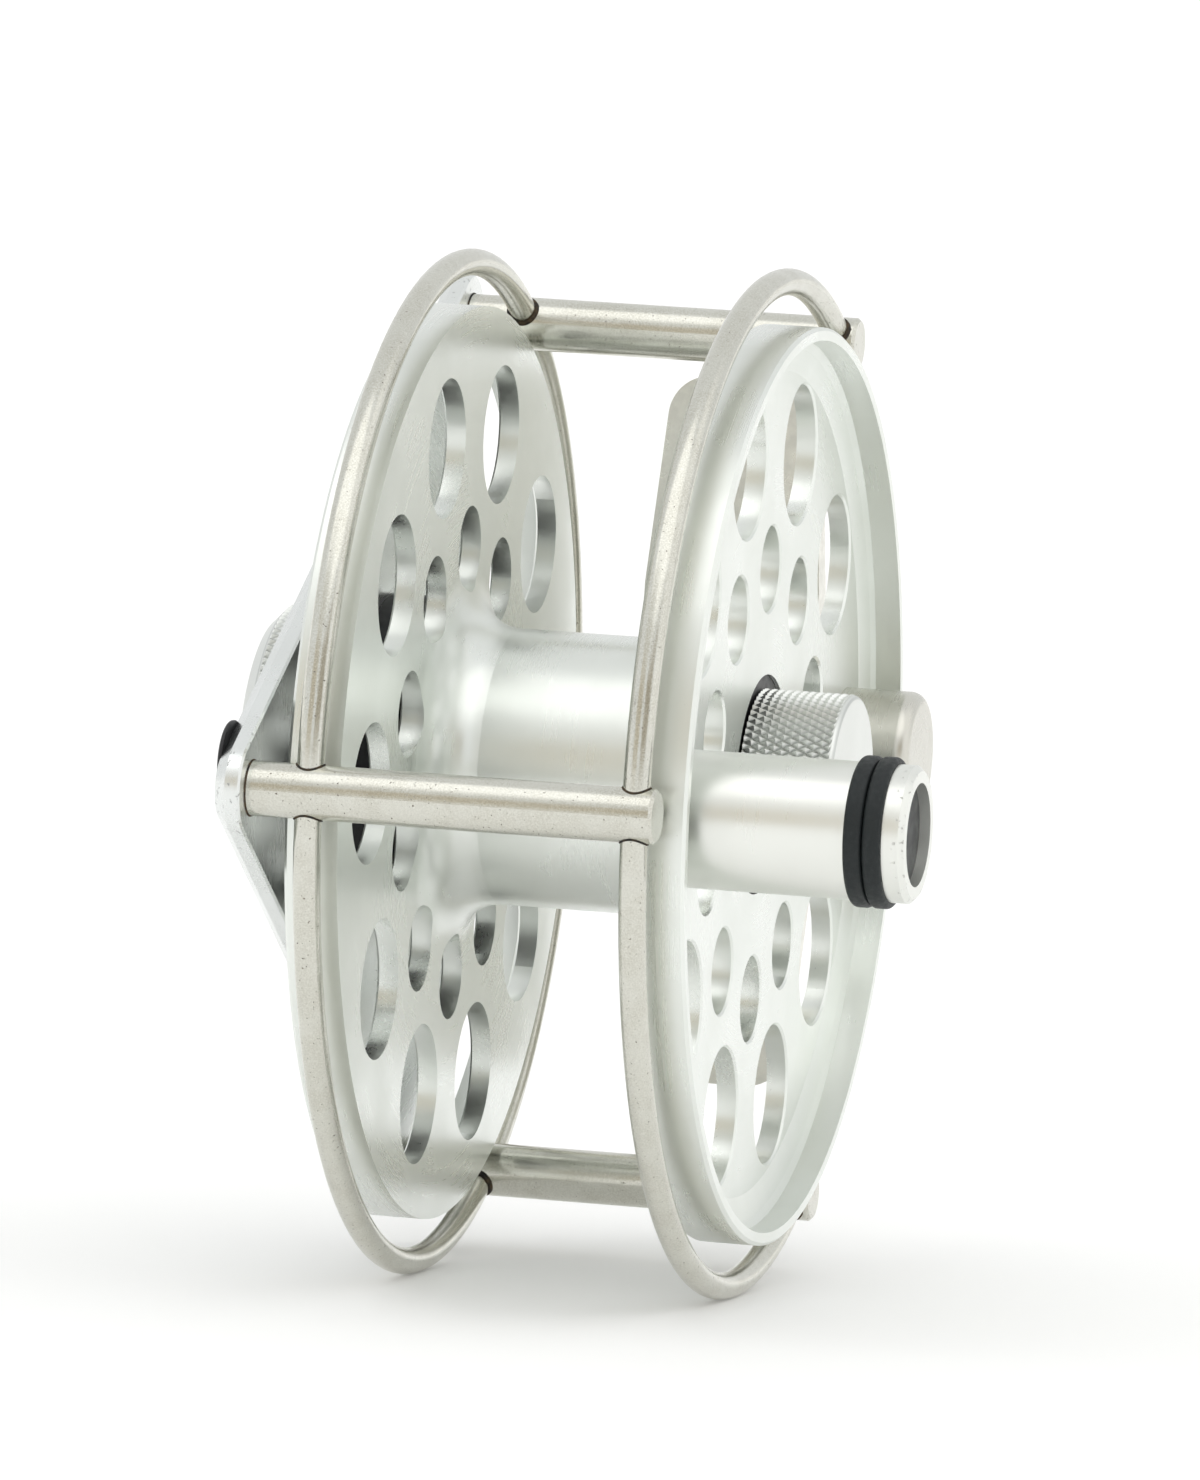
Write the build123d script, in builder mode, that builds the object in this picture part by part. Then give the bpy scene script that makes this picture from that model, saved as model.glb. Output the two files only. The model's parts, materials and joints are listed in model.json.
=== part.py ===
"""Large-arbour fly reel with a cage of welded stainless rod.

Frame of the model: +X runs along the spool's axis towards the winding handle, +Z is up and +Y points
at the fishing rod. The origin is the centre of the foot's flat seat, where the rod touches it.
All lengths are millimetres.
"""

import math
import os

from build123d import *

# Cage
ROD_R = 1.25
RING_R = 46.5
RING_X = 15.1
BAR_R = 2.5
BAR_CIRCLE_R = 46.3
BAR_COUNT = 3
BAR_END_X = 17.1
BAR_BREAK = 0.3
PLATE_INNER_X = -20.5
PLATE_T = 2.6
PLATE_NOSE_R = 4.3
PLATE_BEVEL = 1.2
PLATE_BREAK = 0.2
SPIGOT_R = 1.3
PAD_R = 3.8
PAD_T = 0.4
PAD_FILLET = 0.3
PAD_CIRCLE_R = 44.1
PAD_TURN = -2.6

# Foot
SEAT_R = 51.0
FOOT_TOP_Z = 35.0
FOOT_BOTTOM_Z = -33.0
FOOT_T = 3.0
FOOT_HALF_W = 8.6
FOOT_TIP_HALF_W = 7.2
FOOT_PARALLEL = 30.0
FOOT_TIP_FILLET = 4.0
FOOT_TIP_T = 1.3
FOOT_RAMP_START = 12.0
FOOT_OVERCUT = 1.0
SADDLE_LENGTH = 34.0
SADDLE_W = 18.0
SADDLE_T = 4.4
SADDLE_FILLET = 3.0
FOOT_SCREW_R = 1.5
FOOT_SCREW_HEAD_R = 2.9
FOOT_SCREW_SINK = 0.05
FOOT_SCREW_LENGTH = 6.9
FOOT_SCREW_Z = 6.0
COUNTERSINK = 45.0

# Spool
WEB_INNER_X = 13.4
WEB_T = 2.0
RIM_R = 42.5
LIP_T = 1.2
DISH_R = 38.3
LEDGE_R = 40.5
LEDGE_RISE = 0.65
CORNER_RISE = 1.0
FRONT_LIP_X = 18.8
REAR_LIP_X = -18.4
LIP_BREAK = 0.3
ARBOR_R = 12.85
ARBOR_FILLET = 5.0
ARBOR_SPLIT_X = 8.4
SPOOL_BORE_R = 10.2
BIG_HOLE_R = 6.5
BIG_HOLE_CIRCLE = 31.5
SMALL_HOLE_R = 4.0
SMALL_HOLE_CIRCLE = 20.0
HOLE_COUNT = 10
HOLE_STEP = 360.0 / HOLE_COUNT
HOLE_BREAK = 0.2
DRILL_OVERRUN = 2.5

# Hub that the spool slides over, and what turns inside it
FIT_GAP = 0.05
HUB_R = SPOOL_BORE_R - FIT_GAP
HUB_BORE_R = 8.0
HUB_REAR_X = -15.9
HUB_FRONT_X = 15.0
KEY_SIZE = 2.0
KEY_LENGTH = 12.0
KEY_R = 10.1
SLEEVE_R = 5.0
SPINDLE_R = 3.0
RACE_R = SLEEVE_R + FIT_GAP
BEARING_W = 5.0
BEARING_SHIELD_R = (6.0, 7.2)
BEARING_SHIELD_DEPTH = 0.4
REAR_BEARING_X = -14.5
FRONT_BEARING_X = 8.0
CLUTCH_X = -6.0
CLUTCH_W = 12.0
SEAL_X = 13.9
SEAL_W = 1.0

# Drag
HOUSING_R = 15.3
HOUSING_WALL = 1.2
HOUSING_FRONT_X = -16.1
HOUSING_FLOOR = 0.75
COVER_T = 0.6
COVER_BORE_R = 10.7
ROTOR_R = 12.6
ROTOR_X = -18.2
ROTOR_T = 0.8
SLEEVE_END_X = 13.0
DISC_GAP = 0.05
PRESSURE_X = -19.45
PRESSURE_T = 0.7
PRESSURE_R = 13.2
PRESSURE_BORE_R = 3.6
DISC_INNER_R = 5.8
FRONT_DISC_R = (10.8, 13.0)
THRUST_PIN_R = 0.75
THRUST_PIN_CIRCLE = 7.4
THRUST_PIN_COUNT = 3
THRUST_PIN_REAR_X = -23.8
COLLAR_R = 5.0
HOUSING_SCREW_R = 1.0
HOUSING_SCREW_HEAD_R = 1.9
HOUSING_SCREW_CIRCLE = 11.6
HOUSING_SCREW_COUNT = 3
HOUSING_SCREW_SINK = 0.1

# Drag knob
KNOB_R = 13.8
KNOB_FRONT_X = -23.5
KNOB_REAR_X = -31.4
KNOB_CHAMFER = 1.5
KNOB_FRONT_BREAK = 0.5
KNOB_SPRING_POCKET = (9.4, -25.0)
KNOB_NUT_POCKET = (6.55, -27.0)
KNOB_CLIP_POCKET = (6.0, -29.4)
NUT_R = 6.5
NUT_X = (-26.4, -24.7)
SPRING_R = (4.2, 8.6)
SPRING_T = 0.4
CLIP_T = 0.6
CLIP_R = 4.8
CLIP_GROOVE_R = 2.6
CLIP_GAP_W = 3.0
SPINDLE_REAR_X = -30.3
SPINDLE_FRONT_X = 20.6
KNOB_COVER_X = (-31.1, -30.5)

# Spool release cap
CAP_R = 8.9
CAP_REAR_X = 15.2
CAP_FRONT_X = 24.0
CAP_BREAK = 0.4
CAP_WASHER_POCKET = (7.7, 15.8)
CAP_WASHER_X = (15.25, 15.75)
CAP_WASHER_R = (3.2, 7.6)
CAP_THREAD_DEPTH_X = 21.9

# Winding handle and counterweight
CRANK_R = 33.0
SPOOL_TURN = 1.7
GRIP_R = 6.25
GRIP_X = (16.0, 38.0)
GRIP_BREAK = 0.5
PIN_R = 2.0
PIN_FLANGE_R = 3.4
PIN_HEAD_R = 3.7
PIN_HEAD_X = (34.6, 36.0)
BUSH_R = 3.5
BUSH_X = (16.1, 34.4)
HEAD_POCKET_R = 4.1
HEAD_POCKET_X = 34.45
PLUG_R = 4.7
PLUG_X = (36.2, 37.0)
ORING_W = 1.72
ORING_RADII = (5.15, 6.85)
ORING_FILLET = 0.5
ORING_X = (33.37, 35.13)
GROOVE_X = (32.5, 36.0)
WEIGHT_END_X = 22.9
WEIGHT_FILLET = 1.3
WEIGHT_SCREW_R = 1.5
WEIGHT_SCREW_HEAD_R = 2.8
WEIGHT_SCREW_END_X = 19.5

AXIS_Y = -SEAT_R
FRONT_ANGLE = 180.0
WEB_OUTER_X = WEB_INNER_X + WEB_T
PLATE_OUTER_X = PLATE_INNER_X - PLATE_T
SPOOL_AXIS = (AXIS_Y, 0.0)
CRANK_OFFSET = (CRANK_R * math.cos(math.radians(SPOOL_TURN)), CRANK_R * math.sin(math.radians(SPOOL_TURN)))
CRANK_AXIS = (AXIS_Y - CRANK_OFFSET[0], -CRANK_OFFSET[1])
WEIGHT_AXIS = (AXIS_Y + CRANK_OFFSET[0], CRANK_OFFSET[1])


def across(x):
    """The plane that crosses the spool's axis at x, its own x towards the rod and its y up."""
    return Plane(origin=(x, AXIS_Y, 0), x_dir=(0, 1, 0), z_dir=(1, 0, 0))


def half_plane(centre):
    """The plane of the outlines turned about the line parallel to X through centre, a (y, z) pair."""
    return Plane(origin=(0, *centre), x_dir=(1, 0, 0), z_dir=(0, -1, 0))


def turned(outline, centre=SPOOL_AXIS, mode=Mode.ADD):
    """Turn a closed outline of (x, radius) points about the line parallel to X through centre."""
    with BuildSketch(half_plane(centre)) as section:
        with BuildLine():
            Polyline(*outline, close=True)
        make_face()
    revolve(section.sketch, axis=Axis((0, *centre), (1, 0, 0)), mode=mode)


def collar(x_ends, radii, centre=SPOOL_AXIS, mode=Mode.ADD):
    """A plain ring or tube between two x positions and two radii."""
    low, high = x_ends
    inner, outer = radii
    turned([(low, inner), (high, inner), (high, outer), (low, outer)], centre, mode)


def torus(x, ring_r, section_r):
    """A round rod closed into a circle about the spool's axis."""
    with BuildSketch(half_plane(SPOOL_AXIS)) as section:
        with Locations((x, ring_r)):
            Circle(section_r)
    revolve(section.sketch, axis=Axis((0, *SPOOL_AXIS), (1, 0, 0)))


def drilled(x_ends, spots, radius):
    """Drill a hole along X at each spot between two x positions."""
    low, high = x_ends
    with BuildSketch(across(low)) as holes:
        with spots:
            Circle(radius)
    extrude(holes.sketch, amount=high - low, mode=Mode.SUBTRACT)


def pins(x_ends, spots, radius):
    """A round pin along X at each spot between two x positions."""
    low, high = x_ends
    with BuildSketch(across(low)) as ends:
        with spots:
            Circle(radius)
    extrude(ends.sketch, amount=high - low)


def coned(x_ends, spots, radii):
    """A cone along X at each spot, from the first radius to the second."""
    low, high = x_ends
    with BuildSketch(across(low)) as start:
        with spots:
            Circle(radii[0])
    for face in start.sketch.faces():
        with BuildSketch(Plane(origin=(high, face.center().Y, face.center().Z), z_dir=(1, 0, 0))) as end:
            Circle(radii[1])
        loft([face, end.sketch.face()])


def save(builder, name):
    """Label a finished piece and write it."""
    builder.part.label = name
    export_step(builder.part, f"parts/{name}.step")


os.makedirs("parts", exist_ok=True)

bar_spots = PolarLocations(BAR_CIRCLE_R, BAR_COUNT, start_angle=FRONT_ANGLE)

# Cage: two rings of round rod that pass through three bars
with BuildPart() as rear_ring:
    torus(-RING_X, RING_R, ROD_R)
save(rear_ring, "rear_ring")

with BuildPart() as front_ring:
    torus(RING_X, RING_R, ROD_R)
save(front_ring, "front_ring")

for name, spot in zip(("crossbar_front", "crossbar_bottom", "crossbar_top"), bar_spots.local_locations):
    with BuildPart() as crossbar:
        pins((PLATE_INNER_X, BAR_END_X), Locations(spot), BAR_R)
        chamfer(crossbar.faces().sort_by(Axis.X)[-1].edges(), BAR_BREAK)
        pins((PLATE_OUTER_X, PLATE_INNER_X), Locations(spot), SPIGOT_R)
        add([rear_ring.part, front_ring.part], mode=Mode.SUBTRACT)
    save(crossbar, name)

# Drag housing, its screws and the fixed spindle
housing_screw_spots = PolarLocations(HOUSING_SCREW_CIRCLE, HOUSING_SCREW_COUNT, start_angle=FRONT_ANGLE)
thrust_pin_spots = PolarLocations(THRUST_PIN_CIRCLE, THRUST_PIN_COUNT, start_angle=0)
HOUSING_FLOOR_X = PLATE_INNER_X + HOUSING_FLOOR

with BuildPart() as spindle:
    turned(
        [
            (SPINDLE_REAR_X, 0),
            (SPINDLE_FRONT_X, 0),
            (SPINDLE_FRONT_X, SPINDLE_R),
            (SLEEVE_END_X + 2 * DISC_GAP + CLIP_T, SPINDLE_R),
            (SLEEVE_END_X + 2 * DISC_GAP + CLIP_T, CLIP_GROOVE_R),
            (SLEEVE_END_X + 2 * DISC_GAP, CLIP_GROOVE_R),
            (SLEEVE_END_X + 2 * DISC_GAP, SPINDLE_R),
            (HOUSING_FLOOR_X, SPINDLE_R),
            (HOUSING_FLOOR_X, COLLAR_R),
            (PLATE_OUTER_X, COLLAR_R),
            (PLATE_OUTER_X, SPINDLE_R),
            (KNOB_CLIP_POCKET[1] - DISC_GAP, SPINDLE_R),
            (KNOB_CLIP_POCKET[1] - DISC_GAP, CLIP_GROOVE_R),
            (KNOB_CLIP_POCKET[1] - DISC_GAP - CLIP_T, CLIP_GROOVE_R),
            (KNOB_CLIP_POCKET[1] - DISC_GAP - CLIP_T, SPINDLE_R),
            (SPINDLE_REAR_X, SPINDLE_R),
        ]
    )
save(spindle, "spindle")

with BuildPart() as housing_screws:
    head_end_x = PLATE_OUTER_X + HOUSING_SCREW_HEAD_R - HOUSING_SCREW_R
    coned((PLATE_OUTER_X + HOUSING_SCREW_SINK, head_end_x), housing_screw_spots,
          (HOUSING_SCREW_HEAD_R, HOUSING_SCREW_R))
    pins((head_end_x, HOUSING_FLOOR_X), housing_screw_spots, HOUSING_SCREW_R)
save(housing_screws, "housing_screws")

with BuildPart() as back_plate:
    with BuildSketch(across(PLATE_OUTER_X)):
        with bar_spots:
            Circle(PLATE_NOSE_R)
        make_hull()
    extrude(amount=PLATE_T)
    chamfer(back_plate.faces().sort_by(Axis.X)[0].edges(), PLATE_BEVEL)
    chamfer(back_plate.faces().sort_by(Axis.X)[-1].edges(), PLATE_BREAK)
    add([housing_screws.part, spindle.part], mode=Mode.SUBTRACT)
    drilled((PLATE_OUTER_X, PLATE_INNER_X), bar_spots, SPIGOT_R)
    drilled((PLATE_OUTER_X, PLATE_INNER_X), thrust_pin_spots, THRUST_PIN_R + FIT_GAP)
save(back_plate, "back_plate")

# Pads on the back of the plate beside the riveted ends of the bars
with BuildPart() as plate_pads:
    pins((PLATE_OUTER_X - PAD_T, PLATE_OUTER_X),
         PolarLocations(PAD_CIRCLE_R, BAR_COUNT, start_angle=FRONT_ANGLE + PAD_TURN), PAD_R)
    fillet(plate_pads.faces().filter_by(Axis.X).group_by(Axis.X)[0].edges(), PAD_FILLET)
save(plate_pads, "plate_pads")

with BuildPart() as drag_housing:
    collar((PLATE_INNER_X, HOUSING_FLOOR_X), (COLLAR_R, HOUSING_R))
    collar((HOUSING_FLOOR_X, HOUSING_FRONT_X), (HOUSING_R - HOUSING_WALL, HOUSING_R))
    add(housing_screws.part, mode=Mode.SUBTRACT)
    drilled((PLATE_INNER_X, HOUSING_FLOOR_X), thrust_pin_spots, THRUST_PIN_R + FIT_GAP)
save(drag_housing, "drag_housing")

COVER_REAR_X = HOUSING_FRONT_X - COVER_T
with BuildPart() as housing_cover:
    collar((COVER_REAR_X, HOUSING_FRONT_X), (COVER_BORE_R, HOUSING_R - HOUSING_WALL))
save(housing_cover, "housing_cover")

with BuildPart() as front_friction_disc:
    collar((ROTOR_X + ROTOR_T + DISC_GAP, COVER_REAR_X), FRONT_DISC_R)
save(front_friction_disc, "front_friction_disc")


def spring_clip(groove_x):
    """A flat retaining clip in a groove of the spindle, open on one side."""
    collar((groove_x, groove_x + CLIP_T), (CLIP_GROOVE_R, CLIP_R))
    with BuildSketch(across(groove_x)) as mouth:
        with Locations((0, -CLIP_R)):
            Rectangle(CLIP_GAP_W, 2 * CLIP_R)
    extrude(mouth.sketch, amount=CLIP_T, mode=Mode.SUBTRACT)


with BuildPart() as rotor_clip:
    spring_clip(SLEEVE_END_X + 2 * DISC_GAP)
save(rotor_clip, "rotor_clip")

with BuildPart() as knob_clip:
    spring_clip(KNOB_CLIP_POCKET[1] - DISC_GAP - CLIP_T)
save(knob_clip, "knob_clip")

# Drag rotor: a flange between the friction discs on a sleeve that turns on the spindle
with BuildPart() as drag_rotor:
    turned(
        [
            (ROTOR_X, SPINDLE_R + FIT_GAP),
            (SLEEVE_END_X, SPINDLE_R + FIT_GAP),
            (SLEEVE_END_X, SLEEVE_R),
            (ROTOR_X + ROTOR_T, SLEEVE_R),
            (ROTOR_X + ROTOR_T, ROTOR_R),
            (ROTOR_X, ROTOR_R),
        ]
    )
save(drag_rotor, "drag_rotor")

# What presses on the rotor: plate, pins, spring washer and nut slide together along the spindle
with BuildPart() as rear_friction_disc:
    collar((PRESSURE_X + PRESSURE_T, ROTOR_X - DISC_GAP), (DISC_INNER_R, ROTOR_R))
save(rear_friction_disc, "rear_friction_disc")

with BuildPart() as pressure_plate:
    collar((PRESSURE_X, PRESSURE_X + PRESSURE_T), (PRESSURE_BORE_R, PRESSURE_R))
save(pressure_plate, "pressure_plate")

with BuildPart() as thrust_pins:
    pins((THRUST_PIN_REAR_X, PRESSURE_X), thrust_pin_spots, THRUST_PIN_R)
save(thrust_pins, "thrust_pins")

with BuildPart() as drag_spring:
    inner_r, outer_r = SPRING_R
    nut_face_x = NUT_X[1]
    turned(
        [
            (nut_face_x, inner_r),
            (nut_face_x + SPRING_T, inner_r),
            (THRUST_PIN_REAR_X, outer_r),
            (THRUST_PIN_REAR_X - SPRING_T, outer_r),
        ]
    )
save(drag_spring, "drag_spring")

with BuildPart() as adjuster_nut:
    collar(NUT_X, (SPINDLE_R + FIT_GAP, NUT_R))
save(adjuster_nut, "adjuster_nut")

# Drag knob
with BuildPart() as drag_knob:
    turned(
        [
            (KNOB_SPRING_POCKET[1], KNOB_NUT_POCKET[0]),
            (KNOB_SPRING_POCKET[1], KNOB_SPRING_POCKET[0]),
            (KNOB_FRONT_X, KNOB_SPRING_POCKET[0]),
            (KNOB_FRONT_X, KNOB_R - KNOB_FRONT_BREAK),
            (KNOB_FRONT_X - KNOB_FRONT_BREAK, KNOB_R),
            (KNOB_REAR_X + KNOB_CHAMFER, KNOB_R),
            (KNOB_REAR_X, KNOB_R - KNOB_CHAMFER),
            (KNOB_REAR_X, KNOB_CLIP_POCKET[0]),
            (KNOB_CLIP_POCKET[1], KNOB_CLIP_POCKET[0]),
            (KNOB_CLIP_POCKET[1], SPINDLE_R + FIT_GAP),
            (KNOB_NUT_POCKET[1], SPINDLE_R + FIT_GAP),
            (KNOB_NUT_POCKET[1], KNOB_NUT_POCKET[0]),
        ]
    )
save(drag_knob, "drag_knob")

with BuildPart() as knob_cover:
    collar(KNOB_COVER_X, (0, KNOB_CLIP_POCKET[0]))
save(knob_cover, "knob_cover")

# Hub that carries the spool, with a one-way clutch and two bearings on the rotor's sleeve
with BuildPart() as drive_key:
    with BuildSketch(Plane.XY.offset(KEY_R - KEY_SIZE / 2)):
        with Locations((0, AXIS_Y)):
            Rectangle(KEY_LENGTH, KEY_SIZE)
    extrude(amount=KEY_SIZE)
save(drive_key, "drive_key")

with BuildPart() as hub_tube:
    collar((HUB_REAR_X, HUB_FRONT_X), (HUB_BORE_R, HUB_R))
    add(drive_key.part, mode=Mode.SUBTRACT)
save(hub_tube, "hub_tube")

for name, x in (("rear_bearing", REAR_BEARING_X), ("front_bearing", FRONT_BEARING_X)):
    with BuildPart() as bearing:
        collar((x, x + BEARING_W), (RACE_R, HUB_BORE_R))
        collar((x, x + BEARING_SHIELD_DEPTH), BEARING_SHIELD_R, mode=Mode.SUBTRACT)
        collar((x + BEARING_W - BEARING_SHIELD_DEPTH, x + BEARING_W), BEARING_SHIELD_R, mode=Mode.SUBTRACT)
    save(bearing, name)

with BuildPart() as one_way_clutch:
    collar((CLUTCH_X, CLUTCH_X + CLUTCH_W), (RACE_R, HUB_BORE_R))
save(one_way_clutch, "one_way_clutch")

with BuildPart() as hub_seal:
    collar((SEAL_X, SEAL_X + SEAL_W), (SPINDLE_R + 2 * FIT_GAP, HUB_BORE_R))
save(hub_seal, "hub_seal")

# Handle pin and counterweight, fixed to the front flange
with BuildPart() as handle_pin:
    turned(
        [
            (WEB_INNER_X, 0),
            (PIN_HEAD_X[1], 0),
            (PIN_HEAD_X[1], PIN_HEAD_R),
            (PIN_HEAD_X[0], PIN_HEAD_R),
            (PIN_HEAD_X[0], PIN_R),
            (GRIP_X[0] - DISC_GAP, PIN_R),
            (GRIP_X[0] - DISC_GAP, PIN_FLANGE_R),
            (WEB_OUTER_X, PIN_FLANGE_R),
            (WEB_OUTER_X, PIN_R),
            (WEB_INNER_X, PIN_R),
        ],
        CRANK_AXIS,
    )
save(handle_pin, "handle_pin")

weight_spot = Locations(CRANK_OFFSET)
with BuildPart() as counterweight_screw:
    head_end_x = WEB_INNER_X + WEIGHT_SCREW_HEAD_R - WEIGHT_SCREW_R
    coned((WEB_INNER_X, head_end_x), weight_spot, (WEIGHT_SCREW_HEAD_R, WEIGHT_SCREW_R))
    pins((head_end_x, WEIGHT_SCREW_END_X), weight_spot, WEIGHT_SCREW_R)
save(counterweight_screw, "counterweight_screw")

with BuildPart() as counterweight:
    collar((WEB_OUTER_X, WEIGHT_END_X), (0, GRIP_R), WEIGHT_AXIS)
    fillet(counterweight.faces().sort_by(Axis.X)[-1].edges(), WEIGHT_FILLET)
    add(counterweight_screw.part, mode=Mode.SUBTRACT)
save(counterweight, "counterweight")

# Spool: the rear flange is one piece with the arbour, the front flange closes it
SPOOL_ANGLE = FRONT_ANGLE + SPOOL_TURN
every_hole = PolarLocations(BIG_HOLE_CIRCLE, HOLE_COUNT, start_angle=SPOOL_ANGLE)
small_holes = PolarLocations(SMALL_HOLE_CIRCLE, HOLE_COUNT, start_angle=SPOOL_ANGLE - HOLE_STEP / 2)
clear_of_crank = Locations(
    *[spot for index, spot in enumerate(every_hole.local_locations) if index % (HOLE_COUNT // 2)]
)


def flange(side, lip_x, split_x):
    """A dished flange on one side of the spool, with its share of the arbour up to split_x."""
    web_in = side * WEB_INNER_X
    web_out = side * WEB_OUTER_X
    ledge_x = side * (WEB_OUTER_X + LEDGE_RISE)
    corner_x = side * (WEB_OUTER_X + CORNER_RISE)
    foot_of_fillet = web_in - side * ARBOR_FILLET
    with BuildSketch(half_plane(SPOOL_AXIS)) as section:
        with BuildLine():
            Polyline(
                (split_x, ARBOR_R),
                (split_x, SPOOL_BORE_R),
                (web_out, SPOOL_BORE_R),
                (web_out, DISH_R),
                (ledge_x, LEDGE_R),
                (corner_x, RIM_R - LIP_T),
                (lip_x, RIM_R - LIP_T),
                (lip_x, RIM_R - LIP_BREAK),
                (lip_x - side * LIP_BREAK, RIM_R),
                (web_in, RIM_R),
                (web_in, ARBOR_R + ARBOR_FILLET),
            )
            RadiusArc((web_in, ARBOR_R + ARBOR_FILLET), (foot_of_fillet, ARBOR_R), side * ARBOR_FILLET)
            if abs(foot_of_fillet - split_x) > FIT_GAP:
                Line((foot_of_fillet, ARBOR_R), (split_x, ARBOR_R))
        make_face()
    revolve(section.sketch, axis=Axis((0, *SPOOL_AXIS), (1, 0, 0)))


def perforate(part, side, big_spots):
    """Drill both circles of holes through a flange's web and break their outer edges."""
    ends = sorted((side * (WEB_OUTER_X + FIT_GAP), side * (WEB_INNER_X - DRILL_OVERRUN)))
    drilled(ends, big_spots, BIG_HOLE_R)
    drilled(ends, small_holes, SMALL_HOLE_R)
    rims = [
        edge
        for edge in part.edges().filter_by(GeomType.CIRCLE)
        if abs(edge.center().X - side * WEB_OUTER_X) < FIT_GAP and edge.radius < SPOOL_BORE_R
    ]
    chamfer(rims, HOLE_BREAK)


with BuildPart() as spool:
    flange(-1, REAR_LIP_X, ARBOR_SPLIT_X)
    perforate(spool, -1, every_hole)
    add(drive_key.part, mode=Mode.SUBTRACT)
save(spool, "spool")

with BuildPart() as front_flange:
    flange(1, FRONT_LIP_X, ARBOR_SPLIT_X)
    perforate(front_flange, 1, clear_of_crank)
    add([handle_pin.part, counterweight_screw.part], mode=Mode.SUBTRACT)
save(front_flange, "front_flange")

# Winding grip with its bush, two rubber rings and an end plug
with BuildPart() as handle_grip:
    turned(
        [
            (GRIP_X[0], BUSH_R),
            (GRIP_X[0], GRIP_R - GRIP_BREAK),
            (GRIP_X[0] + GRIP_BREAK, GRIP_R),
            (GROOVE_X[0], GRIP_R),
            (GROOVE_X[0], ORING_RADII[0]),
            (GROOVE_X[1], ORING_RADII[0]),
            (GROOVE_X[1], GRIP_R),
            (GRIP_X[1] - GRIP_BREAK, GRIP_R),
            (GRIP_X[1], GRIP_R - GRIP_BREAK),
            (GRIP_X[1], PLUG_R),
            (PLUG_X[0], PLUG_R),
            (PLUG_X[0], HEAD_POCKET_R),
            (HEAD_POCKET_X, HEAD_POCKET_R),
            (HEAD_POCKET_X, BUSH_R),
        ],
        CRANK_AXIS,
    )
save(handle_grip, "handle_grip")

with BuildPart() as handle_bush:
    collar(BUSH_X, (PIN_R + FIT_GAP, BUSH_R), CRANK_AXIS)
save(handle_bush, "handle_bush")

with BuildPart() as handle_plug:
    collar(PLUG_X, (0, PLUG_R), CRANK_AXIS)
save(handle_plug, "handle_plug")

for name, x in zip(("inner_grip_ring", "outer_grip_ring"), ORING_X):
    with BuildPart() as grip_ring:
        with BuildSketch(half_plane(CRANK_AXIS)) as cord:
            with Locations((x, sum(ORING_RADII) / 2)):
                RectangleRounded(ORING_W, ORING_RADII[1] - ORING_RADII[0], ORING_FILLET)
        revolve(cord.sketch, axis=Axis((0, *CRANK_AXIS), (1, 0, 0)))
    save(grip_ring, name)

# Cap that screws onto the spindle and keeps the spool on, with the washer that travels with it
with BuildPart() as spool_cap:
    turned(
        [
            (CAP_REAR_X, CAP_WASHER_POCKET[0]),
            (CAP_REAR_X, CAP_R - CAP_BREAK),
            (CAP_REAR_X + CAP_BREAK, CAP_R),
            (CAP_FRONT_X - CAP_BREAK, CAP_R),
            (CAP_FRONT_X, CAP_R - CAP_BREAK),
            (CAP_FRONT_X, 0),
            (CAP_THREAD_DEPTH_X, 0),
            (CAP_THREAD_DEPTH_X, SPINDLE_R + FIT_GAP),
            (CAP_WASHER_POCKET[1], SPINDLE_R + FIT_GAP),
            (CAP_WASHER_POCKET[1], CAP_WASHER_POCKET[0]),
        ]
    )
save(spool_cap, "spool_cap")

with BuildPart() as cap_washer:
    collar(CAP_WASHER_X, CAP_WASHER_R)
save(cap_washer, "cap_washer")

# Foot, the saddle that clamps it to both rings, and its screws
with BuildPart() as foot_screws:
    head_end = FOOT_SCREW_HEAD_R - FOOT_SCREW_R
    with BuildSketch(Plane.XZ.offset(FOOT_SCREW_SINK)) as heads:
        with GridLocations(0, 2 * FOOT_SCREW_Z, 1, 2):
            Circle(FOOT_SCREW_HEAD_R)
    extrude(heads.sketch, amount=head_end, taper=COUNTERSINK)
    with BuildSketch(Plane.XZ.offset(FOOT_SCREW_SINK + head_end)) as shanks:
        with GridLocations(0, 2 * FOOT_SCREW_Z, 1, 2):
            Circle(FOOT_SCREW_R)
    extrude(shanks.sketch, amount=FOOT_SCREW_LENGTH - head_end)
save(foot_screws, "foot_screws")

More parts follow.
